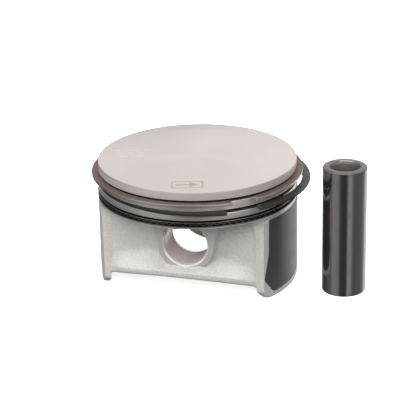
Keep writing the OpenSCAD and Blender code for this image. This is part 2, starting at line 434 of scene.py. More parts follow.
def cut_drains(ob):
    for a in DRAIN_ANGLES:
        d = lathe("drain", [(0, 24), (DRAIN_R, 24), (DRAIN_R, 36), (0, 36)], 24)
        m = Matrix.Translation((AXIS_X * MM, 0, (OIL_TOP - OIL_H / 2) * MM))
        m = m @ Matrix.Rotation(math.radians(a), 4, "Z") @ Matrix.Rotation(math.radians(90), 4, "Y")
        d.data.transform(m)
        boolean(ob, d, "DIFFERENCE")


def add_casting_mark(ob):
    """a raised plain ring on the front panel"""
    turn = np.linspace(0, 2 * math.pi, 12, endpoint=False)
    mark = lathe("mark", [(1.3 + 0.32 * math.cos(q), 0.32 * math.sin(q)) for q in turn], 32)
    y = -(panel_y(MARK_X) - 0.1)
    place = Matrix.Translation(((MARK_X + AXIS_X) * MM, y * MM, MARK_Z * MM))
    mark.data.transform(place @ Matrix.Rotation(math.radians(90), 4, "X"))
    boolean(ob, mark, "UNION")


def piston_body():
    ob = raw_casting()
    face_bosses(ob)
    add_ring_belt(ob)
    cut_bore(ob)
    cut_clip_notches(ob)
    cut_drains(ob)
    add_casting_mark(ob)
    ob.name = "piston_body_turned_casting"
    smooth(ob, 32)
    return ob


# ---------------------------------------------------------------- rings, pin, clips, pads


def strip(name, rows):
    """rows of equal length, each a closed section; capped at both ends"""
    n, m = len(rows), len(rows[0])
    verts = [p for r in rows for p in r]
    faces = []
    for i in range(n - 1):
        for j in range(m):
            k = (j + 1) % m
            faces.append((i * m + j, i * m + k, (i + 1) * m + k, (i + 1) * m + j))
    faces.append(tuple(range(m - 1, -1, -1)))
    faces.append(tuple((n - 1) * m + j for j in range(m)))
    ob = new_object(name, verts, faces)
    recalc(ob)
    return ob


def split_ring(name, section, gap, direction, centre, n=300):
    """section is a closed list of (r, z); the gap has parallel sides as a slitting saw leaves them"""
    d = math.radians(direction)
    rows = []
    for i in range(n + 1):
        t = i / n
        row = []
        for r, z in section:
            e = math.asin(min(1, gap / 2 / r))
            a = d + e + (2 * math.pi - 2 * e) * t
            row.append((centre[0] + r * math.cos(a), centre[1] + r * math.sin(a), z))
        rows.append(row)
    return strip(name, rows)


def rounded_section(r0, r1, z0, z1, c, crown=0.0, steps=3):
    """rectangle with rounded corners; crown bulges the outer face"""
    pts = []
    corners = ((r1 - c, z1 - c, 0), (r0 + c, z1 - c, 90), (r0 + c, z0 + c, 180), (r1 - c, z0 + c, 270))
    for cx, cz, a0 in corners:
        for s in range(steps + 1):
            a = math.radians(a0 + 90 * s / steps)
            pts.append((cx + c * math.cos(a), cz + c * math.sin(a)))
    if crown:
        pts.append((r1, (z0 + z1) / 2 - (z1 - z0) * 0.2))
        zm, hh = (z0 + z1) / 2, (z1 - z0) / 2
        pts = [(r - crown * ((z - zm) / hh) ** 2 if r > (r0 + r1) / 2 else r, z) for r, z in pts]
    return pts


# radius, thickness, opening, direction of the opening and centre of each ring as it hangs
TOP_RING = (41.05, 2.9, 10.2, -50.3, (AXIS_X + 0.5, -2.05))
SECOND_RING = (41.1, 3.2, 13.3, -55.6, (AXIS_X + 2.9, 0.75))
RAIL_R = LAND_R + 0.35
RAIL_T = 2.6
RAIL_GAP = 1.2


def rings():
    lo, hi = cad_mm("top_compression_ring")
    r, thick, gap, direction, centre = TOP_RING
    sec = rounded_section(r - thick, r, lo[2], hi[2], 0.14, crown=0.03)
    top = split_ring("top_ring_barrel_faced", sec, gap, direction, centre)
    smooth(top, 30)
    lo, hi = cad_mm("second_compression_ring")
    r, thick, gap, direction, centre = SECOND_RING
    z0, z1 = lo[2], hi[2]
    # the outer face is tapered, with a hook cut under its lower edge
    sec = [(r - thick, z0 + 0.1), (r - 3.1, z0), (r - 0.42, z0), (r - 0.38, z0 + 0.22), (r - 0.06, z0 + 0.27),
           (r, z0 + 0.31), (r - 0.01, z0 + 0.5), (r - 0.035, z1 - 0.1), (r - 0.08, z1 - 0.03), (r - 0.16, z1),
           (r - 3.1, z1), (r - thick, z1 - 0.1)]
    second = split_ring("second_ring_hooked", sec, gap, direction, centre)
    smooth(second, 30)
    rails = []
    for node, d in (("oil_ring_upper_rail", 75), ("oil_ring_lower_rail", 125)):
        lo, hi = cad_mm(node)
        sec = rounded_section(RAIL_R - RAIL_T, RAIL_R, lo[2], hi[2], 0.12, crown=0.05)
        ob = split_ring(node + "_rounded", sec, RAIL_GAP, d, (AXIS_X, 0))
        smooth(ob, 40)
        rails.append(ob)
    return top, second, rails


WAVES = 94
EXPANDER_JOINT = math.radians(101.25)


def expander():
    lo, hi = cad_mm("oil_ring_expander")
    r0, r1, th = 36.3, 38.4, 0.34
    zm = (lo[2] + hi[2]) / 2
    amp = (hi[2] - lo[2]) / 2 - 0.02
    per = 14
    rows = []
    # one leg is missing at the joint
    total = (WAVES - 0.5) * per
    rm = (r0 + r1) / 2
    pitch = 2 * math.pi * rm / WAVES

    def wave(u):
        # rounded zigzag, -1..1, with period 1
        s = math.sin(2 * math.pi * u)
        return math.asin(0.93 * s) / math.asin(0.93)

    n = int(total)
    for i in range(n + 1):
        u = i / per - 0.25
        a = EXPANDER_JOINT + 2 * math.pi / WAVES * (i / per + 0.5)
        e = 1e-3
        dz = (wave(u + e) - wave(u - e)) / (2 * e) * (amp - th / 2)
        ln = math.hypot(dz, pitch)
        zc = zm + wave(u) * (amp - th / 2)
        row = []
        for q in (-1, 1):
            o = q * th / 2
            for r in ((r0, r1) if q < 0 else (r1, r0)):
                # across the strip: normal to the wave, in the plane of circumference and height
                da = -o * dz / ln / r
                row.append((AXIS_X + r * math.cos(a + da), r * math.sin(a + da), zc + o * pitch / ln))
        rows.append(row)
    ob = strip("oil_ring_expander_waved", rows)
    smooth(ob, 50)
    return ob


PIN_HOLE_R = 5.5
CLIP_WIRE_R = 0.5


def wrist_pin():
    lo, hi = cad_mm("wrist_pin")
    c = (lo + hi) / 2
    r, h, z0 = (hi[0] - lo[0]) / 2, hi[2] - lo[2], lo[2]
    q = PIN_HOLE_R
    # lower end, from the hole outwards
    half = [(q, 12), (q, 1.05), (q + 0.04, 0.82), (q + 0.46, 0.1), (q + 0.56, 0.02), (q + 0.68, 0)]
    half += [(r - 0.62, 0), (r - 0.5, 0.03), (r - 0.2, 0.16), (r - 0.09, 0.3), (r - 0.02, 0.5), (r, 0.75),
             (r, 12)]
    prof = half + [(a, h - b) for a, b in half[::-1]]
    prof = [(a, b + z0) for a, b in prof]
    ob = lathe("wrist_pin_ground", prof, 192, (c[0], c[1], 0))
    smooth(ob, 28)
    return ob


def wire(name, r, gap, direction, n=160, m=20):
    """open wire ring lying in XY, ends rounded over"""
    d = math.radians(direction)
    wr = CLIP_WIRE_R
    e = math.asin(gap / 2 / r)
    ang = [d + e + (2 * math.pi - 2 * e) * i / n for i in range(n + 1)]
    rows = []

    def section(a, k, back):
        # back moves the section along the wire, k shrinks it
        cx, cy = r * math.cos(a), r * math.sin(a)
        tx, ty = -math.sin(a), math.cos(a)
        row = []
        for j in range(m):
            b = 2 * math.pi * j / m
            o = wr * k * math.cos(b)
            x, y = cx + tx * back + o * math.cos(a), cy + ty * back + o * math.sin(a)
            row.append((x, y, wr * k * math.sin(b)))
        return row

    cap = [(0.25, 0.0), (0.6, 0.03), (0.86, 0.11), (1.0, 0.28)]
    for k, s in cap:
        rows.append(section(ang[0], k, s))
    for a in ang[3:-3]:
        rows.append(section(a, 1, 0))
    for k, s in cap[::-1]:
        rows.append(section(ang[-1], k, -s))
    ob = strip(name, rows)
    smooth(ob, 50)
    return ob


def round_corners(poly, rad, steps=5):
    out = []
    n = len(poly)
    for i in range(n):
        p0, p, p1 = np.array(poly[i - 1]), np.array(poly[i]), np.array(poly[(i + 1) % n])
        a, b = p0 - p, p1 - p
        la, lb = np.linalg.norm(a), np.linalg.norm(b)
        k = min(rad[i], la * 0.45, lb * 0.45)
        s, e = p + a / la * k, p + b / lb * k
        for t in np.linspace(0, 1, steps + 1):
            out.append((1 - t) ** 2 * s + 2 * t * (1 - t) * p + t * t * e)
    return np.array(out)


def resample(poly, step):
    out = []
    n = len(poly)
    for i in range(n):
        a, b = poly[i], poly[(i + 1) % n]
        d = np.linalg.norm(b - a)
        k = max(1, int(math.ceil(d / step)))
        for j in range(k):
            out.append(a + (b - a) * j / k)
    return np.array(out)


def pad(name, side, outline, corner):
    """screen-printed pad: a thin curved shell, star-shaped about its middle"""
    p = resample(round_corners(outline, corner), 0.8)
    c = np.array([0.0, -4.5])
    levels = [1.0, 1.0, 0.9945] + list(np.linspace(0.975, 0.06, 26))
    r_in, r_out = SKIRT_R - PAD_SINK, SKIRT_R + COAT
    rad = [r_in, SKIRT_R + COAT * 0.55] + [r_out] * 27

    def row(s, r):
        """the outline shrunk to s and laid on a cylinder of radius r"""
        q = c + (p - c) * s
        return np.stack([side * np.sqrt(r * r - q[:, 0] ** 2), q[:, 0], q[:, 1]], 1)

    rows_o = [row(s, r) for s, r in zip(levels, rad)]
    rows_i = [row(s, r_in) for s in levels[2:][::-1]]
    m, nr, ni = len(p), len(rows_o), len(rows_i)
    verts = list(np.concatenate(rows_o))
    verts.append((side * r_out, c[0], c[1]))
    mid_o = len(verts) - 1
    base = len(verts)
    verts += list(np.concatenate(rows_i))
    verts.append((side * r_in, c[0], c[1]))
    mid_i = len(verts) - 1
    faces = []
    for i in range(nr - 1):
        for j in range(m):
            k = (j + 1) % m
            faces.append((i * m + j, i * m + k, (i + 1) * m + k, (i + 1) * m + j))
    for j in range(m):
        faces.append(((nr - 1) * m + j, (nr - 1) * m + (j + 1) % m, mid_o))
        faces.append((base + (j + 1) % m, base + j, mid_i))
    for i in range(ni - 1):
        for j in range(m):
            k = (j + 1) % m
            a, b = base + i * m, base + (i + 1) * m
            faces.append((a + j, a + k, b + k, b + j))
    for j in range(m):
        k = (j + 1) % m
        faces.append((base + (ni - 1) * m + j, base + (ni - 1) * m + k, k, j))
    ob = new_object(name, verts, faces, SHIFT)
    recalc(ob)
    smooth(ob, 60)
    return ob


def pads():
    f = FOOT
    wide = [(20.9, BELT - 0.1), (-20.9, BELT - 0.1), (-21.1, -4.1), (-23.0, -14.2), (-18.8, f + 1.9),
            (-12, f + 2.2), (0, f + 2.4), (12, f + 2.2), (18.8, f + 1.9), (23.0, -14.2), (21.1, -4.1)]
    narrow = [(11.4, BELT - 0.1), (-11.4, BELT - 0.1), (-11.6, -4.1), (-12.0, -14.2), (-10.4, f + 1.9),
              (0, f + 2.4), (10.4, f + 1.9), (12.0, -14.2), (11.6, -4.1)]
    a = pad("thrust_skirt_pad", 1, wide, [0.4, 0.4, 1.2, 1.0, 1.6, 3, 5, 3, 1.6, 1.0, 1.2])
    b = pad("minor_skirt_pad", -1, narrow, [0.4, 0.4, 1.2, 2.0, 1.6, 5, 1.6, 2.0, 1.2])
    return a, b


# ---------------------------------------------------------------- materials


class Shade:
    """a node material; positions are in millimetres about the piston axis unless shifted"""

    def __init__(self, name, base, metal, rough, shift=(0, 0, 0), **sockets):
        self.mat = bpy.data.materials.new(name)
        self.mat.use_nodes = True
        self.t = self.mat.node_tree
        self.bsdf = self.t.nodes["Principled BSDF"]
        self.put("Base Color", (*base, 1))
        self.put("Metallic", metal)
        self.put("Roughness", rough)
        for k, v in sockets.items():
            self.put(k.replace("_", " "), v)
        tc = self.add("ShaderNodeTexCoord")
        mp = self.add("ShaderNodeMapping")
        self.link(tc.outputs["Object"], mp.inputs["Vector"])
        mp.inputs["Scale"].default_value = (1 / MM,) * 3
        mp.inputs["Location"].default_value = (-AXIS_X - shift[0], -shift[1], -shift[2])
        self.pos = mp.outputs[0]
        sep = self.add("ShaderNodeSeparateXYZ")
        self.link(self.pos, sep.inputs[0])
        self.x, self.y, self.z = sep.outputs

    def add(self, kind, **props):
        n = self.t.nodes.new(kind)
        for k, v in props.items():
            setattr(n, k, v)
        return n

    def link(self, a, b):
        self.t.links.new(a, b)

    def put(self, name, v):
        if isinstance(v, bpy.types.NodeSocket):
            self.link(v, self.bsdf.inputs[name])
        else:
            self.bsdf.inputs[name].default_value = v

    def feed(self, sock, v):
        if isinstance(v, bpy.types.NodeSocket):
            self.link(v, sock)
        else:
            sock.default_value = v

    def math(self, op, a, b=None):
        n = self.add("ShaderNodeMath", operation=op)
        for i, v in enumerate((a, b)):
            if v is not None:
                self.feed(n.inputs[i], v)
        return n.outputs[0]

    def radius(self):
        xx = self.math("MULTIPLY", self.x, self.x)
        yy = self.math("MULTIPLY", self.y, self.y)
        return self.math("SQRT", self.math("ADD", xx, yy))

    def join(self, x, y=0.0, z=0.0):
        n = self.add("ShaderNodeCombineXYZ")
        for i, v in enumerate((x, y, z)):
            self.feed(n.inputs[i], v)
        return n.outputs[0]

    def scaled(self, sx, sy, sz):
        n = self.add("ShaderNodeVectorMath", operation="MULTIPLY")
        self.link(self.pos, n.inputs[0])
        n.inputs[1].default_value = (sx, sy, sz)
        return n.outputs[0]

    def noise(self, vec, scale, detail=2.0, rough=0.5):
        n = self.add("ShaderNodeTexNoise")
        self.link(vec, n.inputs["Vector"])
        n.inputs["Scale"].default_value = scale
        n.inputs["Detail"].default_value = detail
        n.inputs["Roughness"].default_value = rough
        return self.span(n.outputs["Fac"], 0.25, 0.75, 0.0, 1.0)

    def span(self, v, a, b, lo, hi):
        n = self.add("ShaderNodeMapRange", clamp=True, interpolation_type="LINEAR")
        self.feed(n.inputs["Value"], v)
        n.inputs["From Min"].default_value = a
        n.inputs["From Max"].default_value = b
        n.inputs["To Min"].default_value = lo
        n.inputs["To Max"].default_value = hi
        return n.outputs["Result"]

    def mix(self, fac, a, b):
        n = self.add("ShaderNodeMix", data_type="RGBA", blend_type="MIX")
        self.feed(n.inputs[0], fac)
        for i, v in ((6, a), (7, b)):
            self.feed(n.inputs[i], (*v, 1) if isinstance(v, tuple) else v)
        return n.outputs[2]

    def bump(self, height, dist, strength=1.0, after=None):
        """dist in millimetres"""
        n = self.add("ShaderNodeBump")
        self.link(height, n.inputs["Height"])
        n.inputs["Distance"].default_value = dist * MM
        n.inputs["Strength"].default_value = strength
        if after is not None:
            self.link(after, n.inputs["Normal"])
        return n.outputs[0]

    def tangent(self, axis="Z"):
        n = self.add("ShaderNodeTangent", direction_type="RADIAL", axis=axis)
        self.put("Tangent", n.outputs[0])

    def edge_wear(self, lo=0.52, hi=0.6):
        g = self.add("ShaderNodeNewGeometry")
        return self.span(g.outputs["Pointiness"], lo, hi, 0, 1)

    def inside(self, x0, x1, y0, y1, angle=0.0, soft=0.12):
        """1 inside a rectangle on the crown, turned by angle about the axis"""
        ca, sa = math.cos(math.radians(angle)), math.sin(math.radians(angle))
        u = self.math("ADD", self.math("MULTIPLY", self.x, ca), self.math("MULTIPLY", self.y, sa))
        v = self.math("SUBTRACT", self.math("MULTIPLY", self.y, ca), self.math("MULTIPLY", self.x, sa))
        du = self.math("ABSOLUTE", self.math("SUBTRACT", u, (x0 + x1) / 2))
        dv = self.math("ABSOLUTE", self.math("SUBTRACT", v, (y0 + y1) / 2))
        du = self.math("SUBTRACT", du, abs(x1 - x0) / 2)
        dv = self.math("SUBTRACT", dv, abs(y1 - y0) / 2)
        return self.span(self.math("MAXIMUM", du, dv), -soft, soft, 1, 0), u, v


def turned_crown():
    s = Shade("aluminium_turned_crown", (0.78, 0.73, 0.71), 1.0, 0.36, Anisotropic=0.6)
    s.tangent("Z")
    r = s.radius()
    rings = s.noise(s.join(r, 0.0, 0.0), 2.4, 3, 0.75)
    broad = s.noise(s.join(r, 3.0, 0.0), 0.25, 2, 0.6)
    smear = s.noise(s.scaled(0.05, 0.02, 0.05), 1.0, 2, 0.5)
    col = s.mix(rings, (0.74, 0.69, 0.67), (0.80, 0.755, 0.735))
    col = s.mix(s.math("MULTIPLY", broad, 0.5), col, (0.73, 0.69, 0.67))
    col = s.mix(s.math("MULTIPLY", smear, 0.35), col, (0.66, 0.62, 0.60))
    # laser marks: a framed arrow plate and rows of dashes
    a, letters = 15.5, 14.2
    plate, u, v = s.inside(-10.6, 1.4, -33.6, -26.6, a)
    hole, _, _ = s.inside(-10.0, 0.8, -33.0, -27.2, a)
    shaft, _, _ = s.inside(-8.9, -3.4, -30.75, -29.45, a)
    off = s.math("MULTIPLY", s.math("ABSOLUTE", s.math("ADD", v, 30.1)), 1.35)
    tip = s.math("SUBTRACT", s.math("ADD", u, off), -0.4)
    head = s.math("MULTIPLY", s.span(tip, -0.12, 0.12, 1, 0), s.span(u, -4.0, -3.7, 0, 1))
    frame_m = s.math("MULTIPLY", plate, s.math("SUBTRACT", 1.0, hole))
    mark = s.math("MAXIMUM", frame_m, s.math("MAXIMUM", shaft, head))
    col = s.mix(s.math("MULTIPLY", mark, 0.75), col, (0.52, 0.47, 0.40))
    rough = s.math("ADD", s.span(rings, 0, 1, 0.30, 0.38), s.math("MULTIPLY", mark, 0.22))

    def dashes(x0, x1, rows, pitch, ang, strength, colour, seed):
        """rows of meaningless dashes, some left out at random, in place of lettering"""
        nonlocal col
        total = None
        for i, y in enumerate(rows):
            box, uu, vv = s.inside(x0 + 1.1 * i, x1 - 0.5 * i, y - 0.5, y + 0.5, ang)
            cell = s.add("ShaderNodeTexWhiteNoise", noise_dimensions="1D")
            count = s.math("ADD", s.math("DIVIDE", uu, pitch), seed + 7.0 * i)
            s.link(s.math("FLOOR", count), cell.inputs["W"])
            on = s.math("GREATER_THAN", cell.outputs["Value"], 0.3)
            fr = s.math("FRACT", count)
            gap = s.math("LESS_THAN", fr, 0.72)
            m = s.math("MULTIPLY", box, s.math("MULTIPLY", on, gap))
            total = m if total is None else s.math("MAXIMUM", total, m)
        col = s.mix(s.math("MULTIPLY", total, strength), col, colour)

    dashes(-9.8, 3.4, [-21.6], 1.1, a, 0.4, (0.60, 0.55, 0.50), 100.3)
    dashes(-32.6, -19.0, [8.5, 5.2, 1.9], 0.95, letters, 0.6, (0.92, 0.89, 0.86), 200.7)
    s.put("Base Color", col)
    s.put("Roughness", rough)
    fine = s.add("ShaderNodeTexWave", wave_type="BANDS", bands_direction="X")
    s.link(s.join(r, 0.0, 0.0), fine.inputs["Vector"])
    fine.inputs["Scale"].default_value = 1.3
    fine.inputs["Distortion"].default_value = 0.6
    n = s.bump(fine.outputs["Fac"], 0.002, 0.6)
    n = s.bump(rings, 0.004, 0.6, n)
    s.put("Normal", n)
    return s.mat


def turned_side(name, base, rough, metal=1.0, aniso=0.0):
    """turned about Z: fine lines run round the part"""
    s = Shade(name, base, metal, rough)
    if aniso:
        s.put("Anisotropic", aniso)
        s.put("Anisotropic Rotation", 0.25)
        s.tangent("Z")
    v = s.scaled(0.01, 0.01, 1.0)
    rings = s.noise(v, 3.5, 3, 0.7)
    blot = s.noise(s.scaled(0.12, 0.12, 0.4), 1.0, 3, 0.6)
    dark = tuple(c * 0.86 for c in base)
    col = s.mix(rings, dark, base)
    col = s.mix(s.math("MULTIPLY", blot, 0.35), col, tuple(c * 0.8 for c in base))
    s.put("Base Color", col)
    s.put("Roughness", s.span(blot, 0, 1, rough - 0.05, rough + 0.08))
    w = s.add("ShaderNodeTexWave", wave_type="BANDS", bands_direction="Z")
    s.link(s.pos, w.inputs["Vector"])
    w.inputs["Scale"].default_value = 2.0
    w.inputs["Distortion"].default_value = 0.3
    n = s.bump(w.outputs["Fac"], 0.004, 0.7)
    n = s.bump(rings, 0.006, 0.6, n)
    s.put("Normal", n)
    return s.mat


def cast_aluminium():
    s = Shade("aluminium_cast", (0.70, 0.685, 0.665), 0.25, 0.58)
    grain = s.noise(s.pos, 1.6, 4, 0.65)
    fine = s.noise(s.pos, 5.5, 3, 0.7)
    big = s.noise(s.pos, 0.16, 3, 0.6)
    vor = s.add("ShaderNodeTexVoronoi", feature="F1")
    s.link(s.pos, vor.inputs["Vector"])
    vor.inputs["Scale"].default_value = 1.5
    peen = s.span(vor.outputs["Distance"], 0.0, 0.6, 0, 1)
    coarse = s.noise(s.pos, 0.75, 3, 0.6)
    col = s.mix(grain, (0.47, 0.46, 0.445), (0.73, 0.715, 0.695))
    col = s.mix(s.math("MULTIPLY", fine, 0.3), col, (0.55, 0.54, 0.52))
    col = s.mix(s.math("MULTIPLY", big, 0.25), col, (0.60, 0.585, 0.56))
    col = s.mix(s.math("MULTIPLY", s.edge_wear(), 0.5), col, (0.82, 0.81, 0.79))
    s.put("Base Color", col)
    s.put("Roughness", s.span(grain, 0, 1, 0.5, 0.66))
    n = s.bump(coarse, 0.16, 0.7)
    n = s.bump(peen, 0.10, 0.5, n)
    n = s.bump(grain, 0.14, 0.7, n)
    n = s.bump(fine, 0.04, 0.6, n)
    s.put("Normal", n)
    return s.mat


def bored(name, base, rough, metal):
    """machined about the pin bore, so its lines run round Y"""
    s = Shade(name, base, metal, rough, shift=(BORE_DX, 0, 0))
    xx = s.math("MULTIPLY", s.x, s.x)
    zz = s.math("MULTIPLY", s.z, s.z)
    from_bore = s.math("SQRT", s.math("ADD", xx, zz))
    lines = s.noise(s.join(s.y, from_bore, 0.0), 3.0, 3, 0.7)
    blot = s.noise(s.pos, 0.3, 2, 0.5)
    col = s.mix(lines, tuple(c * 0.88 for c in base), base)
    col = s.mix(s.math("MULTIPLY", blot, 0.3), col, tuple(c * 0.85 for c in base))
    s.put("Base Color", col)
    s.put("Roughness", s.span(blot, 0, 1, rough - 0.04, rough + 0.06))
    s.put("Normal", s.bump(lines, 0.005, 0.7))
    return s.mat


def graphite():
    s = Shade("graphite_coating", (0.03, 0.029, 0.033), 0.0, 0.36)
    s.put("Specular IOR Level", 1.0)
    speck = s.noise(s.pos, 6.0, 3, 0.7)
    cloud = s.noise(s.scaled(0.15, 0.15, 0.25), 1.0, 3, 0.6)
    lines = s.noise(s.scaled(0.02, 0.02, 1.0), 4.0, 2, 0.6)
    col = s.mix(speck, (0.024, 0.023, 0.027), (0.042, 0.040, 0.046))
    col = s.mix(s.math("MULTIPLY", cloud, 0.5), col, (0.05, 0.048, 0.053))
    s.put("Base Color", col)
    s.put("Roughness", s.span(cloud, 0, 1, 0.30, 0.42))
    n = s.bump(lines, 0.01, 0.5)
    n = s.bump(speck, 0.008, 0.5, n)
    s.put("Normal", n)
    return s.mat


def steel(name, base, rough, metal=1.0, tint=None, speck=0.0, lined=True):
    """lined: fine lines run round Z, otherwise the grain is even"""
    s = Shade(name, base, metal, rough)
    fine = s.noise(s.scaled(0.05, 0.05, 2.0) if lined else s.pos, 4.0, 3, 0.7)
    blot = s.noise(s.pos, 0.22, 3, 0.6)
    col = s.mix(fine, tuple(c * 0.88 for c in base), base)
    col = s.mix(s.math("MULTIPLY", blot, 0.6), col, tint or tuple(c * 0.8 for c in base))
    if speck:
        sp = s.noise(s.pos, 9.0, 2, 0.8)
        bright = tuple(min(1, c * 2.2 + 0.03) for c in base)
        col = s.mix(s.math("MULTIPLY", sp, speck), col, bright)
    worn = tuple(min(1, c * 1.5 + 0.1) for c in base)
    col = s.mix(s.math("MULTIPLY", s.edge_wear(0.53, 0.62), 0.4), col, worn)
    s.put("Base Color", col)
    s.put("Roughness", s.span(blot, 0, 1, rough - 0.04, rough + 0.07))
    s.put("Normal", s.bump(fine, 0.004, 0.6))
    return s.mat


def paint(ob, mats, choose):
    """choose(centres, normals) gives the faces' material indices; centres are in millimetres"""
    me = ob.data
    me.materials.clear()
    for m in mats:
        me.materials.append(m)
    n = len(me.polygons)
    c = np.empty(n * 3)
    v = np.empty(n * 3)
    me.polygons.foreach_get("center", c)
    me.polygons.foreach_get("normal", v)
    c = c.reshape(-1, 3) / MM
    v = v.reshape(-1, 3)
    me.polygons.foreach_set("material_index", choose(c, v).astype(np.int32))
    me.update()


# materials of the piston body, in the order of body_materials()
CAST, CROWN_FACE, LANDS, BORE_WALL, BOSS_FACE, TURNED_SKIRT, GROOVE_PAINTED_SHADE, TOP_LAND, BORE_CHAMFER = range(9)


def body_materials():
    return [
        cast_aluminium(),
        turned_crown(),
        turned_side("aluminium_turned_lands", (0.90, 0.87, 0.83), 0.42, 0.92, aniso=0.8),
        bored("aluminium_bored", (0.92, 0.85, 0.83), 0.40, 0.45),
        bored("aluminium_faced", (0.74, 0.72, 0.70), 0.45, 0.6),
        turned_side("aluminium_turned_skirt", (0.70, 0.68, 0.66), 0.42, 0.45),
        # the faces inside the ring grooves: the turned aluminium darkened, a painted shade for the grooves'
        # depth
        turned_side("aluminium_groove_painted_shade", (0.20, 0.19, 0.18), 0.5, 0.8),
        turned_side("aluminium_top_land", (0.645, 0.605, 0.58), 0.5, 0.6),
        bored("aluminium_chamfer", (0.95, 0.94, 0.93), 0.3, 0.5),
    ]


def body_faces(c, v):
    """which material each face of the body has; a later line wins over an earlier one"""
    x, y, z = c[:, 0] - AXIS_X, c[:, 1], c[:, 2]
    r = np.hypot(x, y)
    bx = x - BORE_DX
    br = np.hypot(bx, z)
    out = np.full(len(c), CAST)
    radial = (v[:, 0] * x + v[:, 1] * y) / np.maximum(r, 1e-6)
    out[(r > 34.2) & (z > BELT - 0.02)] = LANDS
    # faces inside the ring grooves take the darkened aluminium, painted shade
    out[(r > 34.2) & (r < LAND_R - 0.3) & (z > LIP + 0.3) & (z < CROWN - 1)] = GROOVE_PAINTED_SHADE
    out[(z < BELT + 0.05) & (z > BELT - 0.15) & (v[:, 2] < -0.7) & (r > 33.2)] = LANDS
    out[(r > LAND_R - 0.3) & (z > CROWN - 3.4)] = TOP_LAND
    out[(z > CROWN - 0.6) & (v[:, 2] > 0.3)] = CROWN_FACE
    out[(np.abs(r - SKIRT_R) < 0.06) & (radial > 0.9) & (z < BELT - 0.05)] = TURNED_SKIRT
    out[(z < FOOT + 0.12) & (v[:, 2] < -0.9)] = TURNED_SKIRT
    inner = (v[:, 0] * bx + v[:, 2] * z) / np.maximum(br, 1e-6)
    along = np.abs(y)
    in_boss = (along > GAP - 0.2) & (along < MOUTH)
    at_mouth = (along > MOUTH - 0.6) & (along < MOUTH)
    out[(br < BORE_R + np.where(z > 0, 1.4, 0.8)) & (inner < -0.3) & in_boss] = BORE_WALL
    out[(br < BORE_R + 0.52) & (inner < -0.5) & (inner > -0.9) & at_mouth] = BORE_CHAMFER
    out[(np.abs(along - MOUTH) < 0.03) & (np.abs(v[:, 1]) > 0.999)] = BOSS_FACE
    return out


# ---------------------------------------------------------------- studio

# the camera: angles in degrees, roll in radians, lens in millimetres, the rest in metres
CAM_AZIMUTH = 14.2
CAM_ELEVATION = 21.71
CAM_ROLL = -0.0198
CAM_DISTANCE = 0.6903
CAM_LENS = 157.896
# what it points at: this far right of the piston axis, and this high
CAM_SHIFT = 0.000765
CAM_TARGET_Z = 0.00759
FLOOR_HALF = 1.5


def studio():
    """a white surround for the camera's own rays, and a banded one for all others"""
    w = bpy.data.worlds.new("studio")
    bpy.context.scene.world = w
    w.use_nodes = True
    t = w.node_tree
    t.nodes.clear()

    def add(kind, **p):
        n = t.nodes.new(kind)
        for k, v in p.items():
            setattr(n, k, v)
        return n

    def put(sock, v):
        if isinstance(v, bpy.types.NodeSocket):
            t.links.new(v, sock)
        else:
            sock.default_value = v

    def m(op, a, b):
        n = add("ShaderNodeMath", operation=op)
        put(n.inputs[0], a)
        put(n.inputs[1], b)
        return n.outputs[0]

    def step(v, a, b):
        """0 below a, 1 above b, smooth between"""
        n = add("ShaderNodeMapRange", interpolation_type="SMOOTHSTEP")
        for k, q in (("Value", v), ("From Min", a), ("From Max", b), ("To Min", 0), ("To Max", 1)):
            put(n.inputs[k], q)
        return n.outputs["Result"]

    def ramp(fac, table):
        n = add("ShaderNodeValToRGB")
        n.color_ramp.interpolation = "B_SPLINE"
        put(n.inputs[0], fac)
        e = n.color_ramp.elements
        while len(e) < len(table):
            e.new(0.5)
        for q, (p, c) in zip(e, table):
            q.position = p
            q.color = (c, c, c, 1)
        return n.outputs[0]

    def mix(fac, a, b, kind="FLOAT", first=2):
        n = add("ShaderNodeMix", data_type=kind)
        for i, v in ((0, fac), (first, a), (first + 1, b)):
            put(n.inputs[i], v)
        return n

    tc = add("ShaderNodeTexCoord")
    sep = add("ShaderNodeSeparateXYZ")
    put(sep.inputs[0], tc.outputs["Generated"])
    dx, dy, dz = sep.outputs
    az = math.radians(CAM_AZIMUTH)
    ca, sa = math.cos(az), math.sin(az)
    right = m("ADD", m("MULTIPLY", dx, ca), m("MULTIPLY", dy, sa))
    front = m("SUBTRACT", m("MULTIPLY", dx, sa), m("MULTIPLY", dy, ca))
    phi = m("ADD", m("DIVIDE", m("ARCTAN2", right, front), 2 * math.pi), 0.5)
    # boxes and flags standing round the table, seen in the polished pin
    walls = mix(step(dz, 0.02, 0.30), ramp(phi, LOW), ramp(phi, HIGH)).outputs[0]
    surround = mix(step(dz, 0.35, 0.8), walls, ZENITH).outputs[0]
    seen = add("ShaderNodeLightPath").outputs["Is Camera Ray"]
    strength = mix(seen, surround, 1.0).outputs[0]
    tint = mix(seen, (1, 0.975, 0.955, 1), (1, 1, 1, 1), "RGBA", 6).outputs[2]
    bg = add("ShaderNodeBackground")
    put(bg.inputs["Strength"], strength)
    put(bg.inputs["Color"], tint)
    out = add("ShaderNodeOutputWorld")
    put(out.inputs[0], bg.outputs[0])


def stops(table):
    """(degrees to the right of the direction to the camera, brightness) as places on a ramp"""
    return [((a + 180) / 360, v) for a, v in table]


# brightness of the surround near the table, higher up and overhead
LOW = stops([
    (-180, 0.95), (-168, 0.7), (-155, 0.08), (-112, 0.05), (-104, 0.14), (-76, 0.16), (-68, 0.38),
    (-34, 0.28), (-28, 0.06), (0, 0.05), (8, 0.07), (16, 0.48), (30, 0.36), (44, 0.10), (60, 0.15),
    (100, 0.16), (120, 0.5), (138, 1.5), (160, 2.2), (172, 1.2), (180, 0.95)])
HIGH = stops([
    (-180, 0.9), (-155, 0.8), (-130, 0.7), (-100, 0.7), (-60, 1.0), (0, 1.2), (60, 1.2), (100, 1.4),
    (130, 1.7), (155, 1.1), (180, 0.9)])
ZENITH = 0.9


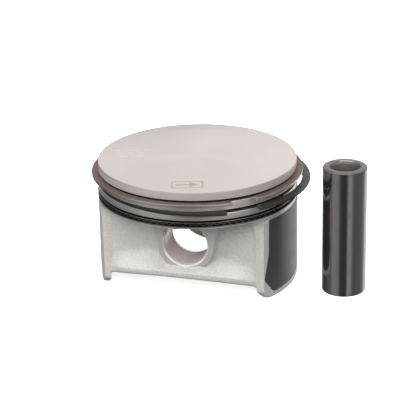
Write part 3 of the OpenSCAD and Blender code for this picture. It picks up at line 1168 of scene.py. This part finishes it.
def lights():
    """name, place, width, height, power and whether polished faces mirror it; all point at the origin"""
    for name, loc, size, size_y, energy, mirrored in (
            ("key", (-0.62, -0.38, 0.20), 0.35, None, 1.2, False),
            ("fill", (0.05, -0.60, 0.46), 0.6, 0.35, 3.45, False),
            ("overhead", (0.0, -0.25, 0.75), 1.0, 0.4, 4.8, True)):
        light = bpy.data.lights.new(name, "AREA")
        light.energy = energy
        light.size = size
        if size_y:
            light.shape = "RECTANGLE"
            light.size_y = size_y
        ob = bpy.data.objects.new(name, light)
        collection().objects.link(ob)
        ob.location = loc
        ob.rotation_euler = (Vector((0, 0, 0)) - Vector(loc)).to_track_quat("-Z", "Y").to_euler()
        ob.visible_glossy = mirrored


def floor():
    """a white table that is only seen directly: nothing mirrors it or is lit by it"""
    me = bpy.data.meshes.new("floor")
    h = FLOOR_HALF
    z = FOOT * MM
    me.from_pydata([(-h, -h, z), (h, -h, z), (h, h, z), (-h, h, z)], [], [(0, 1, 2, 3)])
    ob = bpy.data.objects.new("floor", me)
    collection().objects.link(ob)
    mat = bpy.data.materials.new("floor_white")
    mat.use_nodes = True
    t = mat.node_tree
    b = t.nodes["Principled BSDF"]
    b.inputs["Base Color"].default_value = (0.8, 0.8, 0.8, 1)
    b.inputs["Roughness"].default_value = 0.9
    b.inputs["Specular IOR Level"].default_value = 0.0
    b.inputs["Emission Color"].default_value = (1, 1, 1, 1)
    b.inputs["Emission Strength"].default_value = 0.75
    me.materials.append(mat)
    ob.visible_glossy = False
    ob.visible_diffuse = False


# ---------------------------------------------------------------- camera


def camera():
    """the photograph's view, fitted to the outlines of the crown, the foot, the bore and the pin"""
    az, el = math.radians(CAM_AZIMUTH), math.radians(CAM_ELEVATION)
    ca, sa = math.cos(az), math.sin(az)

    def turned(v):
        return Vector((ca * v[0] - sa * v[1], sa * v[0] + ca * v[1], v[2]))

    right = Vector((1, 0, 0))
    fwd = Vector((0, math.cos(el), -math.sin(el)))
    up = right.cross(fwd)
    cam_x = right * math.cos(CAM_ROLL) + up * math.sin(CAM_ROLL)
    cam_y = up * math.cos(CAM_ROLL) - right * math.sin(CAM_ROLL)
    target = turned((CAM_SHIFT, 0, 0)) + Vector((AXIS_X * MM, 0, CAM_TARGET_Z))
    pos = target - turned(fwd) * CAM_DISTANCE
    axes = (turned(cam_x), turned(cam_y), -turned(fwd), pos)
    cam = bpy.data.cameras.new("camera")
    cam.sensor_width = 36
    cam.lens = CAM_LENS
    cam.clip_start = 0.01
    ob = bpy.data.objects.new("camera", cam)
    collection().objects.link(ob)
    ob.matrix_world = Matrix([[a[i] for a in axes] for i in range(3)] + [[0, 0, 0, 1]])
    bpy.context.scene.camera = ob


# ---------------------------------------------------------------- assembly

# how far past the bore wall the fitted clip's wire reaches
CLIP_REACH = 0.69
LOOSE_CLIP_R = 9.2
LOOSE_CLIP_XY = (4, 58)
# outside this radius the pin is ground
PIN_GROUND_R = 8.3


def one_material(c, v):
    return c[:, 0] * 0


def expander_highlight_faces(c, v):
    """the outer edge of the strip is brighter: a lighter copy of the same steel, a painted highlight"""
    away = c[:, :2] - np.array([AXIS_X, 0])
    return ((away * v[:, :2]).sum(1) > 0.7 * np.hypot(*away.T)) * 1


def pin_faces(c, v):
    """0 ground outside, 1 ends and chamfers, 2 hole"""
    x, y = c[:, 0] - pin_c[0], c[:, 1] - pin_c[1]
    r = np.hypot(x, y)
    side = np.abs(v[:, 2]) < 0.3
    out = np.ones(len(c))
    out[(r > PIN_GROUND_R) & side] = 0
    out[(r < PIN_HOLE_R + 0.06) & side] = 2
    return out


body = piston_body()
paint(body, body_materials(), body_faces)

top, second, rails = rings()
top_side = steel("top_ring_sides", (0.215, 0.153, 0.128), 0.42, tint=(0.16, 0.108, 0.09))
top_face = steel("top_ring_face", (0.80, 0.77, 0.75), 0.36)
paint(top, [top_side, top_face], lambda c, v: (np.abs(v[:, 2]) < 0.45) * 1)
phosphated = steel("phosphated_iron", (0.036, 0.036, 0.038), 0.45, metal=0.5, speck=0.25, lined=False)
paint(second, [phosphated], one_material)
rail_side = steel("rail_steel_sides", (0.16, 0.155, 0.15), 0.34)
rail_edge = steel("rail_steel_edge", (0.26, 0.255, 0.25), 0.25)
for rail in rails:
    paint(rail, [rail_side, rail_edge], lambda c, v: (np.abs(v[:, 2]) < 0.5) * 1)

waved = expander()
waved_side = steel("expander_steel", (0.06, 0.059, 0.057), 0.35)
# the outward faces of the strip: the same steel made lighter, a painted highlight
waved_painted_highlight = steel("expander_steel_painted_highlight", (0.20, 0.195, 0.19), 0.3)
paint(waved, [waved_side, waved_painted_highlight], expander_highlight_faces)

pin = wrist_pin()
pin_lo, pin_hi = cad_mm("wrist_pin")
pin_c = (pin_lo + pin_hi) / 2
pin_ground = steel("pin_ground_steel", (0.52, 0.50, 0.50), 0.13)
pin_end = steel("pin_end_steel", (0.215, 0.21, 0.206), 0.3)
pin_hole = steel("pin_hole_steel", (0.55, 0.50, 0.47), 0.42, tint=(0.42, 0.37, 0.34))
paint(pin, [pin_ground, pin_end, pin_hole], pin_faces)

clip_steel = steel("clip_wire_steel", (0.30, 0.29, 0.28), 0.3)
fitted = wire("fitted_circlip_wire", BORE_R + CLIP_REACH - CLIP_WIRE_R, 7, 150)
fitted.data.transform(Matrix.Rotation(math.radians(90), 4, "X"))
fitted.data.transform(Matrix.Translation((0, CLIP_Y * MM, 0)))
loose = wire("loose_circlip_wire", LOOSE_CLIP_R, 9, 35)
loose_x, loose_y = LOOSE_CLIP_XY
loose.data.transform(Matrix.Translation((loose_x * MM, loose_y * MM, (FOOT + CLIP_WIRE_R) * MM)))
for clip in (fitted, loose):
    paint(clip, [clip_steel], one_material)

thrust_pad, minor_pad = pads()
coating = graphite()
for printed in (thrust_pad, minor_pad):
    paint(printed, [coating], one_material)

# piece, the body it rides on, the CAD node it replaces, its material slot
for piece, rides, node, slot in (
        (body, "piston", "piston_body", "piston_alloy"),
        (thrust_pad, "piston", "thrust_skirt_coating", "graphite_coating"),
        (minor_pad, "piston", "minor_skirt_coating", "graphite_coating"),
        (top, "top_ring", "top_compression_ring", "top_ring_steel"),
        (second, "second_ring", "second_compression_ring", "phosphated_iron"),
        (rails[0], "upper_rail", "oil_ring_upper_rail", "rail_steel"),
        (rails[1], "lower_rail", "oil_ring_lower_rail", "rail_steel"),
        (waved, "expander", "oil_ring_expander", "expander_steel"),
        (pin, "pin", "wrist_pin", "pin_steel"),
        (fitted, "piston", "fitted_circlip", "clip_wire"),
        (loose, "clip", "loose_circlip", "clip_wire")):
    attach(piece, rides)
    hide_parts(node)

studio()
floor()
lights()
camera()
bpy.context.scene.view_settings.view_transform = "Standard"
